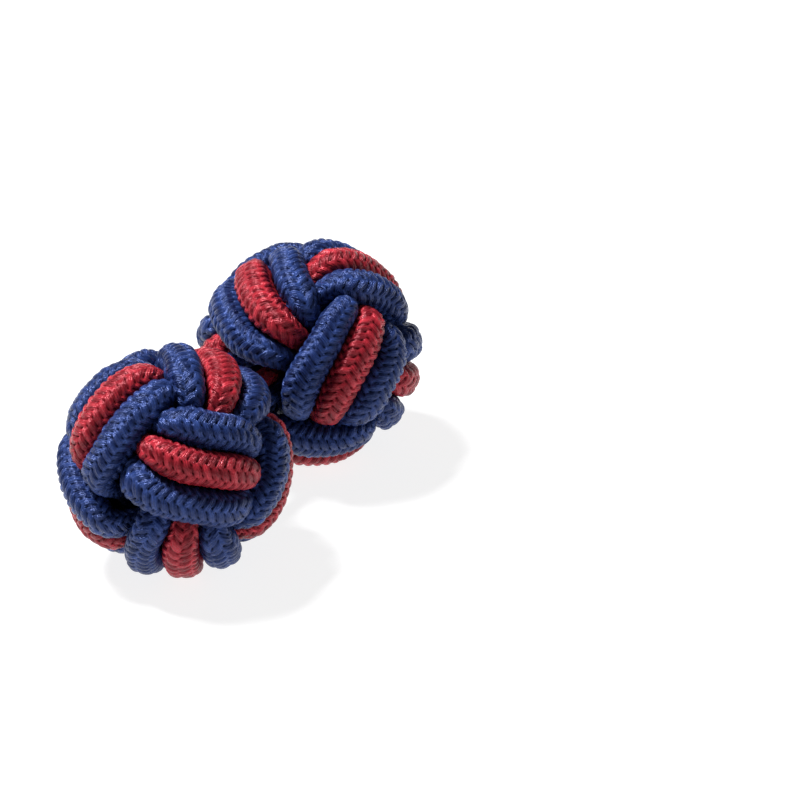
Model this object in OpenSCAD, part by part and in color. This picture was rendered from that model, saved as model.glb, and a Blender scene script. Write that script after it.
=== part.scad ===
// Silk knot cuff button: two ball knots of braided cord on a short cord neck.
// Each ball is a Turk's head of 3 leads and 4 bights that a band of three
// parallel cords follows, navy, red and navy. X runs along the button from the
// front ball to the rear ball, Z is up, and the origin lies on the surface under
// the middle of the neck.

/* [Ball] */
// Outer diameter of a ball, over the tops of its cords
ball_d = 12; // [11.9:0.1:13]
// Distance between the centres of the two balls
ball_spacing = 12.6; // [12.3:0.1:16]
// Turn of the front ball about the neck
front_turn = 84.7; // [-180:0.1:180]
// Turn of the rear ball about the neck
rear_turn = 94.9; // [-180:0.1:180]

// Height of the neck's middle over the surface, where the lowest cords press flat
rest_h = 5.57; // [5.5:0.01:5.6]

/* [Course of the band] */
// Swing of the band to each side of the ball's equator
swing = 50.8; // [49:0.1:52]
// Shift of the whole course towards the ball's outward side
outward_shift = 2.1; // [1:0.1:3]
// Rounding of the bights, which keeps the square holes open
bight_round = 3.2; // [2:0.1:4]
// Lead of the band where it climbs, against an even pace round the ball
climb_lead = 3.3; // [2:0.1:4]
// Lead of the band at its crossings
crossing_lead = 1.2; // [0.5:0.1:1.8]
// How much nearer to the neck the bights lie than an even swing puts them
bight_shift = 0.5; // [0:0.1:1]

/* [Cord] */
// Width of a cord where it lies on top, which is also the pitch of the band
cord_w = 1.94; // [1.8:0.01:1.94]
// Thickness of a cord where it lies on top
cord_t = 1.84; // [1.6:0.01:1.86]
// Width of a cord where the band tucks under another
tuck_w = 1.14; // [1:0.01:1.15]
// Thickness of a cord where the band tucks under another
tuck_t = 0.92; // [0.8:0.01:0.94]
// Clearance between cords that lie side by side
cord_gap = 0.04; // [0.03:0.01:0.1]

/* [Tuck] */
// Depth of a tucked cord's middle below that of a cord on top
tuck_depth = 1.94; // [1.9:0.01:2]
// How much deeper the red middle cord tucks than its neighbours
middle_depth = 0.17; // [0.1:0.01:0.3]

/* [Neck] */
// Diameter of a neck cord, pulled thin
neck_cord_d = 0.9; // [0.8:0.01:0.9]
// Diameter of a neck cord where it swells to fill the hollow of a ball
core_cord_d = 1.8; // [1.4:0.05:1.8]
// Half the length of the full swelling, from the ball's middle
core_half = 0.8; // [0.5:0.1:0.9]
// Length of a neck cord that runs on inside each ball, past the ball's middle
neck_tail = 2.2; // [2:0.1:2.4]

/* [Hidden] */
// Rings on the long leg of a course, round a square hole, and on the short leg
// between the holes
long_rings = 8;
short_rings = 7;
bights = 4;
leads = 3;
sides = 8;
// Step of the course angle that gives the band's direction
small_step = 0.01;
// Course angle of the first crossing where the band lies on top
first_over = 30;
long_leg = 120;
short_leg = 60;
// Where a change starts and ends, as shares of the way from a crossing on top
// to the tucked crossing
DIVE = [0.29, 0.79];
THIN = [0.04, 0.58];
NARROW = [0.03, 0.55];
// The same for the inner cord where it rims the outward hole, which has room there
RIM_NARROW = [0.35, 0.85];
// Sine of the course angle over which the band rims the outward hole
rim_from = 0.5;
ball_r = ball_d / 2;
top_r = ball_r - cord_t / 2 - cord_gap / 2;
neck_half = ball_spacing / 2 + neck_tail;
// Distance from the ball's middle at which a neck cord is thin again
core_end = 2.2;
// Places along the rear half of a neck cord, with its diameter at each
STATIONS = [
    [ball_spacing / 2 - core_end, neck_cord_d],
    [ball_spacing / 2 - core_half, core_cord_d],
    [ball_spacing / 2 + core_half, core_cord_d],
    [neck_half, neck_cord_d]
];
NAVY = [0.13, 0.2, 0.42];
RED = [0.75, 0.16, 0.22];

// Soft step from 0 to 1 while x passes from span[0] to span[1]
function ease(x, span) =
    let (u = min(1, max(0, (x - span[0]) / (span[1] - span[0]))))
    u * u * (3 - 2 * u);

// Value at a share of the way from the top crossing (0) to the tucked one (1)
function between(top, tucked, share, span) = top + (tucked - top) * ease(share, span);

function unit(v) = v / norm(v);

// Direction of the band's middle line at a course angle, which runs through
// 360 degrees for each bight
function course(a) =
    let (
        lat = outward_shift + swing * sin(a) + bight_round * sin(3 * a)
            + bight_shift * cos(2 * a),
        lon = a * leads / bights - climb_lead * sin(2 * a) + crossing_lead * cos(2 * a)
    )
    [cos(lat) * cos(lon), cos(lat) * sin(lon), sin(lat)];

// Course angle and share of the way to the tuck, for every ring of a cord
function legs() = [
    for (bight = [0 : bights - 1])
        for (leg = [0 : 3])
            let (
                long = leg % 2 == 0,
                start = first_over + 360 * bight + 180 * floor(leg / 2) + (long ? 0 : long_leg),
                rings = long ? long_rings : short_rings,
                span = long ? long_leg : short_leg
            )
            for (i = [0 : rings - 1])
                [start + span * i / rings, long ? i / rings : 1 - i / rings]
];

// Width of a cord with its clearance, side being -1, 0 or 1 across the band
function width(ring, side) =
    between(cord_w, tuck_w, ring[1],
        side == 1 && sin(ring[0]) > rim_from ? RIM_NARROW : NARROW);

// Middle of a cord at one ring
function cord_point(ring, side) =
    let (
        d = course(ring[0]),
        ahead = unit(course(ring[0] + small_step) - course(ring[0] - small_step)),
        across = cross(d, ahead),
        base_r = between(top_r, top_r - tuck_depth, ring[1], DIVE),
        pitch = (width(ring, 0) + width(ring, side)) / 2,
        r = base_r - (side == 0 ? middle_depth * ease(ring[1], DIVE) : 0),
        turn = side * pitch / base_r * 180 / PI
    )
    r * (cos(turn) * d + sin(turn) * across);

// A point of a ball, moved up to the surface if it would lie below it. The ball
// stands at a turn about the neck, and way is 1 on the front ball, -1 on the rear
function rested(p, turn, way) =
    let (up = [way * cos(turn), sin(turn), 0])
    p + max(0, -rest_h - p * up) * up;

// A closed cord: an eight sided section swept along all its rings
module cord_course(side, turn, way) {
    rings = legs();
    count = len(rings);
    mids = [for (ring = rings) cord_point(ring, side)];
    points = [
        for (i = [0 : count - 1])
            let (
                mid = mids[i],
                ahead = unit(mids[(i + 1) % count] - mids[(i + count - 1) % count]),
                across = unit(cross(mid, ahead)),
                out = cross(ahead, across),
                w = width(rings[i], side) / 2 - cord_gap / 2,
                t = between(cord_t, tuck_t, rings[i][1], THIN) / 2
            )
            for (k = [0 : sides - 1])
                rested(mid + w * cos(360 * k / sides) * across + t * sin(360 * k / sides) * out,
                    turn, way)
    ];
    faces = [
        for (i = [0 : count - 1])
            for (k = [0 : sides - 1])
                let (
                    a = i * sides + k,
                    b = i * sides + (k + 1) % sides,
                    c = ((i + 1) % count) * sides + (k + 1) % sides,
                    d = ((i + 1) % count) * sides + k
                )
                each [[a, c, b], [a, d, c]]
    ];
    polyhedron(points, faces);
}

// The cords' place on the front ball: its outward hole faces away from the neck
module front_cord(side) {
    translate([-ball_spacing / 2, 0, rest_h]) rotate([front_turn, 0, 0]) rotate([0, -90, 0])
        cord_course(side, front_turn, 1);
}

module rear_cord(side) {
    translate([ball_spacing / 2, 0, rest_h]) rotate([rear_turn, 0, 0]) rotate([0, 90, 0])
        cord_course(side, rear_turn, -1);
}

module front_knot_navy_outer() {
    color(NAVY) front_cord(-1);
}

module front_knot_red_middle() {
    color(RED) front_cord(0);
}

module front_knot_navy_inner() {
    color(NAVY) front_cord(1);
}

module rear_knot_navy_outer() {
    color(NAVY) rear_cord(-1);
}

module rear_knot_red_middle() {
    color(RED) rear_cord(0);
}

module rear_knot_navy_inner() {
    color(NAVY) rear_cord(1);
}

// One cord of the neck, the turn placing it round the bundle of three. It lies
// against the other two all along, so it bows outwards where they swell
module neck_cord(turn) {
    last = len(STATIONS) - 1;
    rings = concat([for (i = [last : -1 : 0]) [-STATIONS[i][0], STATIONS[i][1]]], STATIONS);
    end = len(rings) - 1;
    points = [
        for (ring = rings)
            let (
                r = ring[1] / 2,
                off = (ring[1] + cord_gap) / sqrt(3)
            )
            for (k = [0 : sides - 1])
                [ring[0], r * sin(360 * k / sides), off + r * cos(360 * k / sides)]
    ];
    caps = [
        [for (k = [sides - 1 : -1 : 0]) k],
        [for (k = [0 : sides - 1]) end * sides + k]
    ];
    walls = [
        for (i = [0 : end - 1])
            for (k = [0 : sides - 1])
                let (
                    a = i * sides + k,
                    b = i * sides + (k + 1) % sides
                )
                each [[a, b, b + sides], [a, b + sides, a + sides]]
    ];
    translate([0, 0, rest_h]) rotate([turn, 0, 0]) polyhedron(points, concat(caps, walls));
}

module neck_red() {
    color(RED) neck_cord(0);
}

module neck_navy_front() {
    color(NAVY) neck_cord(120);
}

module neck_navy_rear() {
    color(NAVY) neck_cord(240);
}

front_knot_navy_outer();
front_knot_red_middle();
front_knot_navy_inner();
rear_knot_navy_outer();
rear_knot_red_middle();
rear_knot_navy_inner();
neck_red();
neck_navy_front();
neck_navy_rear();
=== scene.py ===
"""Silk knot cuff button: two ball knots of braided navy and red cord on a short cord neck.

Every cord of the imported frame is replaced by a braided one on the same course: a tube whose
surface carries the picks of an eight strand round braid, with a silky finish.
"""
from __future__ import annotations

import logging
import math
from dataclasses import dataclass, field
from enum import Enum

import bpy
import numpy as np
from mathutils import Matrix, Vector


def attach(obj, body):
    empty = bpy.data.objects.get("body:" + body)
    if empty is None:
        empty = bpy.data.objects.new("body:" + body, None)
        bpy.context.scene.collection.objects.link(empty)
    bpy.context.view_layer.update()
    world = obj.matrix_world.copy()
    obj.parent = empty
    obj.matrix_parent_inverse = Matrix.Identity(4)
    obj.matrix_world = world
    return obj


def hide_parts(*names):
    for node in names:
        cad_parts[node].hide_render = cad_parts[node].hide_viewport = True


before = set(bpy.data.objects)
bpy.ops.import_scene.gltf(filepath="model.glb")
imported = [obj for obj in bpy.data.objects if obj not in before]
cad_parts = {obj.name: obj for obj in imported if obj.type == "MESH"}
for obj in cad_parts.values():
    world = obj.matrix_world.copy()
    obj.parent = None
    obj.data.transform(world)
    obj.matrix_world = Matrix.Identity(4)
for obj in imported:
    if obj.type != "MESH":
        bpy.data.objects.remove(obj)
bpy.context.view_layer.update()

log = logging.getLogger("cuff_button")

MM = 0.001
BODY = "root"

# Measures that the solids share
BALL_D = 12 * MM
BALL_SPACING = 12.6 * MM
REST_HEIGHT = 5.57 * MM
CORD_GAP = 0.04 * MM


class Lay(Enum):
    """Place of a cord in its band of three, seen along the band."""

    OUTER = -1
    MIDDLE = 0
    INNER = 1


def ease(x: np.ndarray, span: tuple[float, float]) -> np.ndarray:
    """Step softly from 0 to 1.

    Args:
        x: Values to map.
        span: Where the step starts and ends.

    Returns:
        The step's height at each value.
    """
    u = np.clip((x - span[0]) / (span[1] - span[0]), 0, 1)
    return u * u * (3 - 2 * u)


def unit(v: np.ndarray) -> np.ndarray:
    """Return the vectors of an array, each at length 1."""
    return v / np.linalg.norm(v, axis=-1, keepdims=True)


def wrap(x: np.ndarray) -> np.ndarray:
    """Return each value's distance from the nearest whole number, from -0.5 to 0.5."""
    return x - np.floor(x + 0.5)


@dataclass(frozen=True)
class Band:
    """Course of a band of three cords over a ball: a Turk's head of 3 leads and 4 bights.

    Course angles run through 360 degrees for each bight. Other angles are in degrees too, and
    lengths in metres.

    Attributes:
        bights: How often the course turns back on each side of the ball.
        leads: How often it goes round the ball before it closes.
        swing: Swing to each side of the ball's equator.
        outward_shift: Shift of the whole course towards the ball's outward side.
        bight_round: Rounding of the bights, which keeps the square holes open.
        bight_shift: How much nearer to the neck the bights lie than an even swing puts them.
        climb_lead: Lead of the band where it climbs.
        crossing_lead: Lead of the band at its crossings.
        first_over: Course angle of the first crossing where the band lies on top.
        long_leg: Course angle from there to the tucked crossing, round a square hole.
        cord_w: Width of a cord on top, with its clearance.
        cord_t: Thickness of a cord on top.
        tuck_w: Width of a tucked cord, with its clearance.
        tuck_t: Thickness of a tucked cord.
        tuck_depth: Depth of a tucked cord's middle below that of a cord on top.
        middle_depth: How much deeper the middle cord tucks than its neighbours.
        dive: Shares of the way to a tucked crossing between which a cord goes down.
        thin: The same for its thickness.
        narrow: The same for its width.
        rim_narrow: The same for the inner cord's width where it rims the outward hole.
        rim_from: Sine of the course angle over which the band rims that hole.
    """

    bights: int = 4
    leads: int = 3
    swing: float = 50.8
    outward_shift: float = 2.1
    bight_round: float = 3.2
    bight_shift: float = 0.5
    climb_lead: float = 3.3
    crossing_lead: float = 1.2
    first_over: float = 30
    long_leg: float = 120
    cord_w: float = 1.94 * MM
    cord_t: float = 1.84 * MM
    tuck_w: float = 1.14 * MM
    tuck_t: float = 0.92 * MM
    tuck_depth: float = 1.94 * MM
    middle_depth: float = 0.17 * MM
    dive: tuple[float, float] = (0.34, 0.82)
    thin: tuple[float, float] = (0.15, 0.67)
    narrow: tuple[float, float] = (0.18, 0.67)
    rim_narrow: tuple[float, float] = (0.4, 0.85)
    rim_from: float = 0.5

    def direction(self, a: np.ndarray) -> np.ndarray:
        """Give the way from the ball's middle to the band's middle line.

        Args:
            a: Course angles in degrees, 360 for each bight.

        Returns:
            A unit vector for each angle.
        """
        r = np.radians(a)
        lat = np.radians(self.outward_shift + self.swing * np.sin(r)
                         + self.bight_round * np.sin(3 * r) + self.bight_shift * np.cos(2 * r))
        lon = np.radians(a * self.leads / self.bights - self.climb_lead * np.sin(2 * r)
                         + self.crossing_lead * np.cos(2 * r))
        return np.stack([np.cos(lat) * np.cos(lon), np.cos(lat) * np.sin(lon), np.sin(lat)], -1)

    def share(self, a: np.ndarray) -> np.ndarray:
        """Give how far each course angle is from a crossing on top (0) to a tucked one (1)."""
        m = np.mod(a - self.first_over, 180)
        return np.where(m < self.long_leg, m / self.long_leg, (180 - m) / (180 - self.long_leg))

    def width(self, a: np.ndarray, lay: Lay) -> np.ndarray:
        """Give a cord's width with its clearance at each course angle.

        Args:
            a: Course angles in degrees.
            lay: Which cord of the band. The inner one narrows late where it rims the outward
                hole, which the photograph shows as a mere seam.

        Returns:
            The widths.
        """
        rims = (lay is Lay.INNER) & (np.sin(np.radians(a)) > self.rim_from)
        share = self.share(a)
        narrow = np.where(rims, ease(share, self.rim_narrow), ease(share, self.narrow))
        return self.cord_w + (self.tuck_w - self.cord_w) * narrow

    def line(self, lay: Lay, count: int) -> tuple[np.ndarray, np.ndarray, np.ndarray]:
        """Lay one cord of the band.

        Args:
            lay: Which cord of the band.
            count: Number of points.

        Returns:
            The cord's middle points in the ball's own axes, and its half width and half
            thickness at each.
        """
        a = np.arange(count) * 360 * self.bights / count
        share = self.share(a)
        d = self.direction(a)
        step = 0.01
        ahead = unit(self.direction(a + step) - self.direction(a - step))
        across = np.cross(d, ahead)
        depth = ease(share, self.dive)
        top_r = BALL_D / 2 - self.cord_t / 2 - CORD_GAP / 2
        base_r = top_r - self.tuck_depth * depth
        width = self.width(a, lay)
        r = base_r - (self.middle_depth * depth if lay is Lay.MIDDLE else 0)
        turn = lay.value * (self.width(a, Lay.MIDDLE) + width) / 2 / base_r
        mid = r[:, None] * (np.cos(turn)[:, None] * d + np.sin(turn)[:, None] * across)
        thick = self.cord_t + (self.tuck_t - self.cord_t) * ease(share, self.thin)
        return mid, (width - CORD_GAP) / 2, thick / 2


class Course:
    """A cord's middle line with its section and axes, read by length along it."""

    def __init__(self, mid: np.ndarray, half_w: np.ndarray, half_t: np.ndarray,
                 centre: np.ndarray, closed: bool) -> None:
        """Measure the line.

        Args:
            mid: Points of the middle line in the object's axes.
            half_w: Half the section's width at each point.
            half_t: Half the section's thickness at each point.
            centre: Point that the section's thickness points away from.
            closed: Whether the line runs back into its start.
        """
        self.closed = closed
        if closed:
            ahead = unit(np.roll(mid, -1, 0) - np.roll(mid, 1, 0))
        else:
            ahead = unit(np.gradient(mid, axis=0))
        across = unit(np.cross(mid - centre, ahead))
        out = np.cross(ahead, across)
        table = np.concatenate([mid, across, out, half_w[:, None], half_t[:, None]], 1)
        if closed:
            table = np.concatenate([table, table[:1]])
        steps = np.linalg.norm(np.diff(table[:, :3], axis=0), axis=1)
        self.s = np.concatenate([[0], np.cumsum(steps)])
        self.length = float(self.s[-1])
        self.table = table

    def at(self, s: np.ndarray) -> tuple[np.ndarray, ...]:
        """Read the line at lengths along it.

        Args:
            s: Lengths from the start, in metres.

        Returns:
            Middle point, across and outward axes, half width and half thickness.
        """
        s = np.mod(s, self.length) if self.closed else np.clip(s, 0, self.length)
        t = np.stack([np.interp(s, self.s, column) for column in self.table.T], -1)
        return t[..., :3], unit(t[..., 3:6]), unit(t[..., 6:9]), t[..., 9], t[..., 10]


@dataclass(frozen=True)
class Braid:
    """An eight strand round braid: columns of slanted picks, each column leaning the other way.

    Attributes:
        columns: Columns of picks round the cord.
        pitch: Length of a pick along the cord, in metres.
        slant: How far the ends of a pick run ahead of its middle, or behind it, in picks.
        relief: Depth of the valleys between the picks, in metres.
        reach: Half the length of a pick round the cord, in columns.
        spread: Half the thickness of a pick at its middle, in picks.
        taper: Share of that thickness that a pick loses at its ends.
        blunt: Power that makes a pick's ends blunt.
        edge: Power that makes its sides round.
        dome: Power that makes its crest full.
        lift: How much a pick rises towards the end that lies on top.
        rough: Difference in height between one pick and another.
        rows: Rings of points for each pick.
        grid: Points round the cord for each column.
        square: Power of the cord's section: 2 is an ellipse, and more is fuller.
        bare: Share of the cord's greatest width under which its picks flatten out.
        wander: How far the columns wander round the cord, in columns.
        wander_waves: How many times each wave of that fits the cord.
        uneven: How uneven the girth is, as a share of it.
        uneven_waves: How many times each wave of that fits the cord.
        sway: How far the cord strays from its course, in metres.
        sway_waves: How many times each wave of that fits the cord.
    """

    columns: int = 8
    pitch: float = 0.43 * MM
    slant: float = 0.32
    relief: float = 0.225 * MM
    reach: float = 0.68
    spread: float = 0.61
    taper: float = 0.47
    blunt: int = 3
    edge: float = 2.2
    dome: float = 0.6
    lift: float = 0.2
    rough: float = 0.16
    rows: int = 6
    grid: int = 6
    square: float = 2.5
    bare: float = 0.4
    wander: float = 0.45
    wander_waves: range = range(1, 6)
    uneven: float = 0.055
    uneven_waves: range = range(6, 16)
    sway: float = 0.07 * MM
    sway_waves: range = range(4, 12)

    def zigzag(self, c: np.ndarray) -> np.ndarray:
        """Give how far ahead the picks run at each column c, from -1 to 1 times the slant."""
        own = np.round(c)
        return np.where(np.mod(own, 2) == 0, 2.0, -2.0) * (c - own)

    def height(self, c: np.ndarray, along: np.ndarray, tones: np.ndarray) -> tuple[np.ndarray, ...]:
        """Give the relief of the picks.

        Args:
            c: Place round the cord, in columns.
            along: Place along the cord on the zigzag of the picks, in picks.
            tones: Tone of every pick, by column and pick.

        Returns:
            Height from 0 in a valley to 1 on a crest, the tone of the pick on top, and how near
            its ends the place is, from 0 to 1.
        """
        own = np.round(c)
        zig = self.zigzag(c)
        best = np.full(c.shape, -1.0)
        tone = np.zeros(c.shape)
        end = np.zeros(c.shape)
        for beside in (0, -1, 1):
            column = own + beside
            x = c - column
            odd = np.mod(column, 2)
            lean = 1 - 2 * odd
            y = along + (zig - 2 * lean * x) * self.slant + odd / 2
            pick = np.floor(y + 0.5)
            outward = np.minimum(np.abs(x / self.reach), 1)
            thick = self.spread * (1 - self.taper * outward ** 2)
            swell = 1 - outward ** self.blunt - np.abs(wrap(y) / thick) ** self.edge
            top = np.clip(swell, 0, 1) ** self.dome * (1 + self.lift * x * lean)
            shade = tones[np.mod(column, self.columns).astype(int),
                          np.mod(pick, tones.shape[1]).astype(int)]
            top = top * (1 + self.rough * (shade - 0.5))
            tone = np.where(top > best, shade, tone)
            end = np.where(top > best, outward, end)
            best = np.maximum(best, top)
        return best, tone, end


@dataclass
class BraidedCord:
    """A braided cord that stands for one cord of the frame.

    Attributes:
        name: Name of the new piece.
        node: The frame's node that it replaces.
        course: The cord's middle line and section.
        braid: How the cord is braided.
        finish: Its colour and silkiness.
        seed: Seed of its small differences.
        floor: Height of the surface that soft cord presses flat on.
    """

    name: str
    node: str
    course: Course
    braid: Braid
    finish: "CordFinish"
    seed: int
    floor: float = 0.0

    def waves(self, s: np.ndarray, rng: np.random.Generator, counts: range) -> np.ndarray:
        """Give a smooth chance value along the cord, the same at both ends of a closed one.

        Args:
            s: Lengths along the cord.
            rng: Source of chance.
            counts: How many times each wave of the sum fits the cord.

        Returns:
            A value about 0 for each length.
        """
        total = np.zeros(s.shape)
        for count in counts:
            size = rng.uniform(0.5, 1) / count ** 0.5
            total += size * np.sin(2 * math.pi * (count * s / self.course.length + rng.uniform()))
        return total

    def sweep(self) -> tuple[np.ndarray, dict[str, np.ndarray]]:
        """Work out the braided tube.

        Returns:
            Its points, ring by ring, and the numbers that the finish reads at each, by name.
        """
        b = self.braid
        rng = np.random.default_rng(self.seed)
        picks = round(self.course.length / b.pitch)
        pitch = self.course.length / picks
        around = b.columns * b.grid
        rings = picks * b.rows
        tones = rng.uniform(0, 1, (b.columns, picks))
        row = np.arange(rings + (0 if self.course.closed else 1))[:, None] / b.rows
        c = np.broadcast_to(np.arange(around)[None] / b.grid, (len(row), around))
        s = (row + b.zigzag(c) * b.slant) * pitch
        mid, across, out, half_w, half_t = self.course.at(s)
        girth = 1 + b.uneven * self.waves(s, rng, b.uneven_waves)
        half_w, half_t = half_w * girth, half_t * girth
        mid = mid + (b.sway * self.waves(s, rng, b.sway_waves))[..., None] * across
        high, tone, end = b.height(c, np.broadcast_to(row, c.shape), tones)
        share = half_w / half_w.max()
        high = high * np.minimum(share / b.bare, 1)
        turn = rng.uniform(0, b.columns) + b.wander * self.waves(s, rng, b.wander_waves)
        angle = 2 * math.pi * (c + turn) / b.columns
        sink = b.relief * share * (1 - high)
        x, y = np.cos(angle), np.sin(angle)
        full = (np.abs(x) ** b.square + np.abs(y) ** b.square) ** (-1 / b.square)
        points = (mid + ((half_w - sink) * full * x)[..., None] * across
                  + ((half_t - sink) * full * y)[..., None] * out)
        points[..., 2] = np.maximum(points[..., 2], self.floor)
        return points, {"relief": high, "tone": tone, "end": end}

    def build(self) -> bpy.types.Object:
        """Make the piece.

        Returns:
            The finished object, which replaces its node.
        """
        mesh = self.mesh(*self.sweep())
        obj = bpy.data.objects.new(self.name, mesh)
        bpy.context.collection.objects.link(obj)
        mesh.materials.append(self.finish.material())
        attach(obj, BODY)
        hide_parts(self.node)
        return obj

    def mesh(self, points: np.ndarray, values: dict[str, np.ndarray]) -> bpy.types.Mesh:
        """Join the rings into a mesh with its braid map and its surface values.

        Args:
            points: Points, ring by ring.
            values: A number for each point, by the name under which the finish reads it.

        Returns:
            The new mesh.
        """
        rings, around = points.shape[:2]
        spans = rings if self.course.closed else rings - 1
        i, j = np.meshgrid(np.arange(spans), np.arange(around), indexing="ij")
        ni, nj = (i + 1) % rings, (j + 1) % around
        quads = np.stack([i * around + j, i * around + nj, ni * around + nj, ni * around + j], -1)
        quads = quads.reshape(-1, 4)
        u = np.stack([i, i, i + 1, i + 1], -1) / self.braid.rows
        v = np.stack([j, j + 1, j + 1, j], -1) / self.braid.grid
        mesh = bpy.data.meshes.new(self.name)
        mesh.vertices.add(rings * around)
        mesh.vertices.foreach_set("co", points.reshape(-1).astype(np.float32))
        mesh.loops.add(quads.size)
        mesh.loops.foreach_set("vertex_index", quads.reshape(-1).astype(np.int32))
        mesh.polygons.add(len(quads))
        mesh.polygons.foreach_set("loop_start", (np.arange(len(quads)) * 4).astype(np.int32))
        mesh.polygons.foreach_set("loop_total", np.full(len(quads), 4, np.int32))
        mesh.polygons.foreach_set("use_smooth", np.ones(len(quads), bool))
        braid_map = mesh.uv_layers.new(name="braid")
        braid_map.data.foreach_set("uv", np.stack([u, v], -1).reshape(-1).astype(np.float32))
        for name, numbers in values.items():
            layer = mesh.attributes.new(name, "FLOAT", "POINT")
            layer.data.foreach_set("value", numbers.reshape(-1).astype(np.float32))
        mesh.update(calc_edges=True)
        mesh.validate()
        return mesh


class Value:
    """A shader socket that adds a Math node when it stands in an expression."""

    def __init__(self, graph: "Graph", socket: bpy.types.NodeSocket) -> None:
        """Hold the socket and the graph that it belongs to."""
        self.graph = graph
        self.socket = socket

    def math(self, operation: str, first: "Value | float", second: "Value | float") -> "Value":
        """Add one Math node on two values."""
        node = self.graph.add("ShaderNodeMath", {"operation": operation}, {0: first, 1: second})
        return Value(self.graph, node.outputs[0])

    def __add__(self, other: "Value | float") -> "Value":
        """Add."""
        return self.math("ADD", self, other)

    def __radd__(self, other: "Value | float") -> "Value":
        """Add to a number."""
        return self.math("ADD", other, self)

    def __sub__(self, other: "Value | float") -> "Value":
        """Subtract."""
        return self.math("SUBTRACT", self, other)

    def __rsub__(self, other: "Value | float") -> "Value":
        """Subtract from a number."""
        return self.math("SUBTRACT", other, self)

    def __mul__(self, other: "Value | float") -> "Value":
        """Multiply."""
        return self.math("MULTIPLY", self, other)

    def __rmul__(self, other: "Value | float") -> "Value":
        """Multiply a number."""
        return self.math("MULTIPLY", other, self)

    def __pow__(self, other: "Value | float") -> "Value":
        """Raise to a power."""
        return self.math("POWER", self, other)

    def clamped(self) -> "Value":
        """Return the value held between 0 and 1."""
        node = self.graph.add("ShaderNodeClamp", {}, {0: self, 1: 0.0, 2: 1.0})
        return Value(self.graph, node.outputs[0])


class Graph:
    """Node tree of one material."""

    def __init__(self, name: str) -> None:
        """Start an empty material.

        Args:
            name: The material's name.
        """
        self.material = bpy.data.materials.new(name)
        self.material.use_nodes = True
        self.tree = self.material.node_tree
        self.tree.nodes.clear()

    def add(self, kind: str, settings: dict, sockets: dict) -> bpy.types.Node:
        """Add a node.

        Args:
            kind: The node's type.
            settings: Properties to set first.
            sockets: Value or link for each input, by name or number.

        Returns:
            The node.
        """
        node = self.tree.nodes.new(kind)
        for key, value in settings.items():
            setattr(node, key, value)
        for key, value in sockets.items():
            if isinstance(value, Value):
                self.tree.links.new(value.socket, node.inputs[key])
            elif isinstance(value, bpy.types.NodeSocket):
                self.tree.links.new(value, node.inputs[key])
            else:
                node.inputs[key].default_value = value
        return node

    def attribute(self, name: str) -> Value:
        """Read a number stored on the piece's points."""
        node = self.add("ShaderNodeAttribute", {"attribute_name": name}, {})
        return Value(self, node.outputs["Fac"])

    def noise(self, vector: bpy.types.NodeSocket, scale: float, detail: float = 2.0) -> Value:
        """Read a noise of that scale on a vector."""
        sockets = {"Vector": vector, "Scale": scale, "Detail": detail}
        return Value(self, self.add("ShaderNodeTexNoise", {}, sockets).outputs[0])

    def stretched(self, vector: bpy.types.NodeSocket,
                  scale: tuple[float, float, float]) -> bpy.types.NodeSocket:
        """Return the vector multiplied along each of its axes."""
        node = self.add("ShaderNodeVectorMath", {"operation": "MULTIPLY"}, {0: vector, 1: scale})
        return node.outputs[0]

    def mix(self, share: Value, first: object, second: object) -> bpy.types.NodeSocket:
        """Mix two colours by a share of the second."""
        node = self.add("ShaderNodeMix", {"data_type": "RGBA"}, {0: share, 6: first, 7: second})
        return node.outputs[2]


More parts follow.
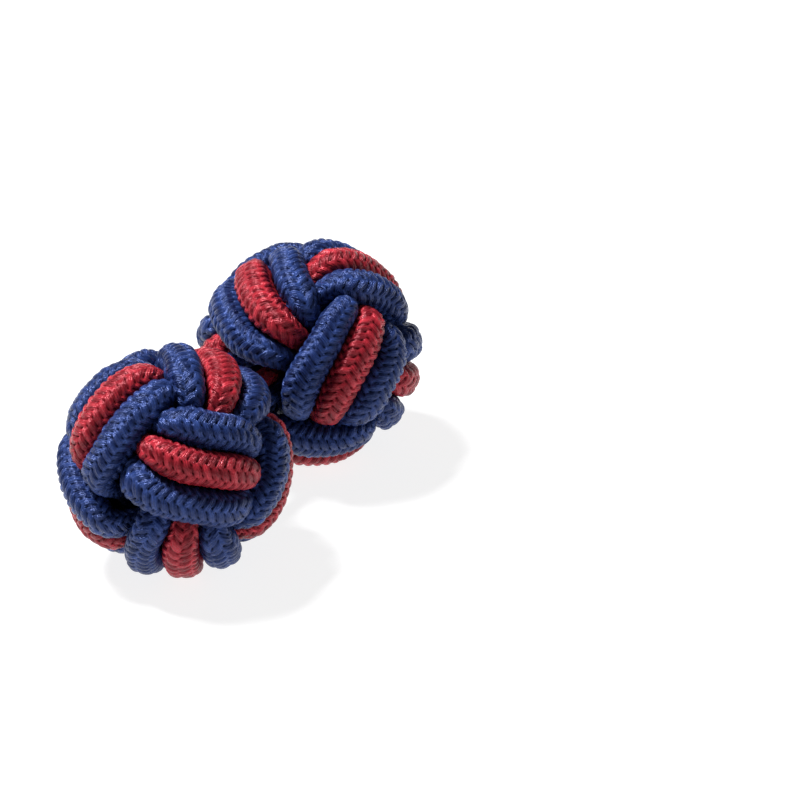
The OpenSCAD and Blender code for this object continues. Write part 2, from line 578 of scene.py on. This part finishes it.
@dataclass(frozen=True)
class CordFinish:
    """Finish of a silky braided cord in one colour.

    Attributes:
        name: Name of the material.
        slot: The record's slot that it stands for. Not used.
        valley: Painted shade between the picks: the dark colour that the valleys take.
        body: Colour of the picks.
        crest: Painted highlight on the picks' crests and near their ends.
        tint: Tint of the light that the silk throws back.
        roughness: Roughness on a crest.
        filaments: Filaments across a pick.
        grain: How much the filaments change the colour.
        rib: Height of a filament, in metres.
        shine: Level of the silk's highlights.
        sheen: Weight of its soft edge light.
    """

    name: str
    slot: str
    valley: tuple[float, float, float]
    body: tuple[float, float, float]
    crest: tuple[float, float, float]
    tint: tuple[float, float, float]
    roughness: float = 0.3
    filaments: float = 7.0
    grain: float = 1.0
    rib: float = 0.12 * MM
    shine: float = 1.0
    sheen: float = 0.02

    def material(self) -> bpy.types.Material:
        """Build the finish once and return it.

        Returns:
            The material, shared by all cords of this colour.
        """
        known = bpy.data.materials.get(self.name)
        if known:
            return known
        g = Graph(self.name)
        place = g.add("ShaderNodeTexCoord", {}, {}).outputs["Object"]
        braid = g.add("ShaderNodeUVMap", {"uv_map": "braid"}, {}).outputs[0]
        relief = g.attribute("relief")
        tone = g.attribute("tone")
        end = g.attribute("end")
        strands = g.noise(g.stretched(braid, (self.filaments, 0.7, 1)), 1.0, 3.0)
        cloud = g.noise(place, 900.0)
        grain = (strands - 0.5) * self.grain
        # Painted shade: where the relief is low, between the picks, the colour darkens towards the
        # valley colour; pick tone, filaments and cloud vary the cord's own colour
        lit = ((relief - 0.2) * 2.1 + (tone - 0.5) * 0.4 + grain + (cloud - 0.5) * 0.3).clamped()
        # Painted highlight: the crest colour is mixed in near the picks' ends and on the highest
        # crests, streaked by the filaments
        tip_highlight = (end ** 2.0) * (relief - 0.35) * 2.2
        painted_highlight = (tip_highlight + (relief ** 4.0) * 0.4 * tone + grain).clamped()
        colour = g.mix(lit, (*self.valley, 1), (*self.body, 1))
        colour = g.mix(painted_highlight, colour, (*self.crest, 1))
        rough = (self.roughness + (strands - 0.5) * 0.4 + (1 - relief) * 0.3 - end * 0.12).clamped()
        ribs = strands + g.noise(place, 7000.0) * 0.35
        bump = g.add("ShaderNodeBump", {}, {"Strength": 1.0, "Distance": self.rib, "Height": ribs})
        silk = g.add("ShaderNodeBsdfPrincipled", {}, {
            "Base Color": colour, "Roughness": rough, "Normal": bump.outputs[0],
            "Specular IOR Level": self.shine, "Specular Tint": (*self.tint, 1),
            "Sheen Weight": self.sheen, "Sheen Roughness": 0.4, "Sheen Tint": (*self.tint, 1)})
        matt = g.add("ShaderNodeBsdfPrincipled", {}, {
            "Base Color": colour, "Roughness": 1.0, "Specular IOR Level": 0.0})
        # The valleys between the picks stay matt and keep their painted shade, and only the picks
        # shine
        raised = ((relief - 0.2) * 2.0).clamped()
        surface = g.add("ShaderNodeMixShader", {}, {
            0: raised, 1: matt.outputs[0], 2: silk.outputs[0]})
        g.add("ShaderNodeOutputMaterial", {}, {"Surface": surface.outputs[0]})
        return g.material


# Valley colours are painted shade, crest colours are painted highlight, and body colours are the
# dyes
NAVY = CordFinish(
    name="navy_braid", slot="navy_cord", valley=(0.001, 0.002, 0.009), body=(0.0045, 0.01, 0.05),
    crest=(0.04, 0.08, 0.29), tint=(0.22, 0.32, 0.8))
RED = CordFinish(
    name="red_braid", slot="red_cord", valley=(0.05, 0.001, 0.003), body=(0.13, 0.003, 0.008),
    crest=(0.75, 0.045, 0.07), tint=(1.0, 0.25, 0.3))


@dataclass
class BallKnot:
    """One ball of the button: a band of three cords round and round it.

    Attributes:
        label: Which ball it is, as its nodes' names give it.
        way: Side of the neck that it is on, -1 or 1 along X.
        turn: Its turn about the neck, in degrees.
        band: Course of its band.
        braid: How its cords are braided.
        samples: Points from which each cord's middle line is measured.
    """

    label: str
    way: int
    turn: float
    band: Band = field(default_factory=Band)
    braid: Braid = field(default_factory=Braid)
    samples: int = 7200

    def place(self) -> Matrix:
        """Stand the ball on its side of the neck.

        Returns:
            The move from the ball's own axes, which turns its outward hole away from the neck.
        """
        move = Matrix.Translation((self.way * BALL_SPACING / 2, 0, REST_HEIGHT))
        roll = Matrix.Rotation(math.radians(self.turn), 4, "X")
        return move @ roll @ Matrix.Rotation(self.way * math.pi / 2, 4, "Y")

    def cord(self, lay: Lay, colour: str, finish: CordFinish, seed: int) -> bpy.types.Object:
        """Build one closed cord of the ball.

        Args:
            lay: Its place in the band.
            colour: Its colour, as its node's name gives it.
            finish: Its finish.
            seed: Seed of its small differences.

        Returns:
            The braided cord.
        """
        at = np.array(self.place())
        mid, half_w, half_t = self.band.line(lay, self.samples)
        mid = mid @ at[:3, :3].T + at[:3, 3]
        course = Course(mid, half_w, half_t, at[:3, 3], True)
        kind = f"{self.label}_knot_{colour}_{lay.name.lower()}"
        return BraidedCord(f"{kind}_braid", kind, course, self.braid, finish, seed).build()

    def build(self) -> list[bpy.types.Object]:
        """Build the ball's three cords, each with a seed of its own.

        Returns:
            The three cords.
        """
        first_seed = 10 * (self.way + 2)
        return [self.cord(Lay.OUTER, "navy", NAVY, first_seed),
                self.cord(Lay.MIDDLE, "red", RED, first_seed + 1),
                self.cord(Lay.INNER, "navy", NAVY, first_seed + 2)]


@dataclass
class Neck:
    """The short neck: three cords, pulled thin between the balls and full inside them.

    Attributes:
        thin_d: Diameter of a cord, pulled thin.
        full_d: Diameter of a cord where it fills the hollow of a ball.
        full_half: Half the length that is full, from the ball's middle.
        thin_from: Distance from the ball's middle at which a cord is thin again, and ends.
        cap: Length over which an end is drawn in.
        closing: How nearly an end closes, 1 being to a point.
        samples: Points from which each cord's middle line is measured.
        braid: How the cords are braided.
    """

    thin_d: float = 0.9 * MM
    full_d: float = 1.8 * MM
    full_half: float = 0.8 * MM
    thin_from: float = 2.2 * MM
    cap: float = 0.3 * MM
    closing: float = 0.999
    samples: int = 400
    braid: Braid = field(default_factory=lambda: Braid(pitch=0.4 * MM, relief=0.09 * MM))

    def cord(self, node: str, turn: float, finish: CordFinish, seed: int) -> bpy.types.Object:
        """Build one neck cord, its two ends drawn in and closed.

        Args:
            node: The node that it stands for.
            turn: Its place round the bundle, in degrees.
            finish: Its finish.
            seed: Seed of its small differences.

        Returns:
            The braided cord.
        """
        half = BALL_SPACING / 2 + self.thin_from
        x = np.linspace(-half, half, self.samples)
        inward = np.abs(np.abs(x) - BALL_SPACING / 2)
        thick = np.interp(inward, (self.full_half, self.thin_from), (self.full_d, self.thin_d))
        off = (thick + CORD_GAP) / math.sqrt(3)
        a = math.radians(turn)
        mid = np.stack([x, -off * math.sin(a), REST_HEIGHT + off * math.cos(a)], -1)
        inset = np.clip((np.abs(x) - half + self.cap) / self.cap, 0, 1)
        size = thick / 2 * np.sqrt(1 - self.closing * inset ** 2)
        centre = np.stack([x, np.zeros_like(x), np.full_like(x, REST_HEIGHT)], -1)
        course = Course(mid, size, size, centre, False)
        return BraidedCord(f"{node}_braid", node, course, self.braid, finish, seed).build()

    def build(self) -> list[bpy.types.Object]:
        """Build the neck's three cords, a third of a turn apart.

        Returns:
            The three cords.
        """
        return [self.cord("neck_red", 0, RED, 41),
                self.cord("neck_navy_front", 120, NAVY, 42),
                self.cord("neck_navy_rear", 240, NAVY, 43)]


@dataclass
class Studio:
    """The pale floor, the soft lights and the camera at the photograph's angle.

    Attributes:
        azimuth: Turn of the camera round the button, in degrees.
        elevation: Its height over the surface, in degrees.
        roll: How far the picture leans, in degrees.
        distance: From the camera to the neck's middle.
        aside: Where the neck's middle lies in the picture, to the right.
        above: The same, upwards.
        frame_px: Width of the photograph.
        focal_px: Focal length in the same pixels.
        near: Nearest distance that the camera sees.
        far: Farthest distance that it sees.
        floor_size: Side of the floor.
        floor_grey: How much light the floor throws back.
        floor_glow: Its own light, which keeps it as white as the photograph's ground.
        ambient: Strength of the light from all round.
        light_distance: From the origin to each light.
    """

    azimuth: float = -58.785
    elevation: float = 31.07
    roll: float = 3.0
    distance: float = 250 * MM
    aside: float = -8.173 * MM
    above: float = -0.073 * MM
    frame_px: float = 806
    focal_px: float = 4881.8
    near: float = 0.01
    far: float = 50
    floor_size: float = 6.0
    floor_grey: float = 0.27
    floor_glow: float = 0.84
    ambient: float = 0.12
    light_distance: float = 0.35

    def axes(self) -> tuple[Vector, Vector, Vector]:
        """Work out how the camera stands.

        Returns:
            Its right, up and backward axes.
        """
        a, e = math.radians(self.azimuth), math.radians(self.elevation)
        right = Vector((math.cos(a), math.sin(a), 0))
        back = Vector((math.sin(a) * math.cos(e), -math.cos(a) * math.cos(e), math.sin(e)))
        turn = Matrix.Rotation(math.radians(self.roll), 3, "X")
        return turn @ right, turn @ back.cross(right), turn @ back

    def camera(self) -> None:
        """Set the camera."""
        right, up, back = self.axes()
        data = bpy.data.cameras.new("camera")
        data.sensor_fit = "HORIZONTAL"
        data.angle = 2 * math.atan(self.frame_px / 2 / self.focal_px)
        data.clip_start = self.near
        data.clip_end = self.far
        obj = bpy.data.objects.new("camera", data)
        seen = Vector((0, 0, REST_HEIGHT)) - self.aside * right - self.above * up
        spot = seen + self.distance * back
        turn = Matrix((right, up, back)).transposed().to_4x4()
        obj.matrix_world = Matrix.Translation(spot) @ turn
        bpy.context.collection.objects.link(obj)
        bpy.context.scene.camera = obj

    def light(self, name: str, way: tuple[float, float, float],
              size: float, power: float) -> None:
        """Add a soft area light.

        Args:
            name: The light's name.
            way: Where it stands as seen by the camera: right, up and towards the camera.
            size: Its side in metres.
            power: Its power in watts.
        """
        right, up, back = self.axes()
        way_out = (way[0] * right + way[1] * up + way[2] * back).normalized()
        data = bpy.data.lights.new(name, "AREA")
        data.size = size
        data.energy = power
        obj = bpy.data.objects.new(name, data)
        aim = way_out.to_track_quat("Z", "Y").to_matrix().to_4x4()
        obj.matrix_world = Matrix.Translation(way_out * self.light_distance) @ aim
        bpy.context.collection.objects.link(obj)

    def sky(self) -> None:
        """Set a world that gives little light and that the camera sees as white."""
        world = bpy.data.worlds.new("studio")
        world.use_nodes = True
        nodes = world.node_tree.nodes
        seen = nodes.new("ShaderNodeLightPath").outputs["Is Camera Ray"]
        strength = nodes.new("ShaderNodeMapRange")
        strength.inputs["To Min"].default_value = self.ambient
        nodes["Background"].inputs["Color"].default_value = (1, 1, 1, 1)
        world.node_tree.links.new(seen, strength.inputs["Value"])
        world.node_tree.links.new(strength.outputs[0], nodes["Background"].inputs["Strength"])
        bpy.context.scene.world = world

    def build(self) -> None:
        """Set the floor, the lights, the world and the camera."""
        bpy.ops.object.select_all(action="DESELECT")
        bpy.ops.mesh.primitive_plane_add(size=self.floor_size)
        floor = bpy.context.object
        floor.name = "floor"
        g = Graph("pale_floor")
        grey = self.floor_grey
        shader = g.add("ShaderNodeBsdfPrincipled", {}, {
            "Base Color": (grey, grey, grey, 1), "Roughness": 0.8,
            "Emission Color": (1, 1, 1, 1), "Emission Strength": self.floor_glow})
        g.add("ShaderNodeOutputMaterial", {}, {"Surface": shader.outputs[0]})
        floor.data.materials.append(g.material)
        self.sky()
        self.light("key", (-0.45, 0.95, 0.3), 0.08, 2.3)
        self.light("fill", (0.7, 0.2, 0.8), 0.3, 0.1)
        bpy.context.scene.view_settings.view_transform = "Standard"
        self.camera()


def main() -> None:
    """Build the button and its studio, and report each piece."""
    logging.basicConfig(level=logging.INFO, format="%(message)s")
    Studio().build()
    for part in (BallKnot("front", -1, 84.7), BallKnot("rear", 1, 94.9), Neck()):
        for obj in part.build():
            log.info("%s: %d faces", obj.name, len(obj.data.polygons))


if __name__ == "__main__":
    main()
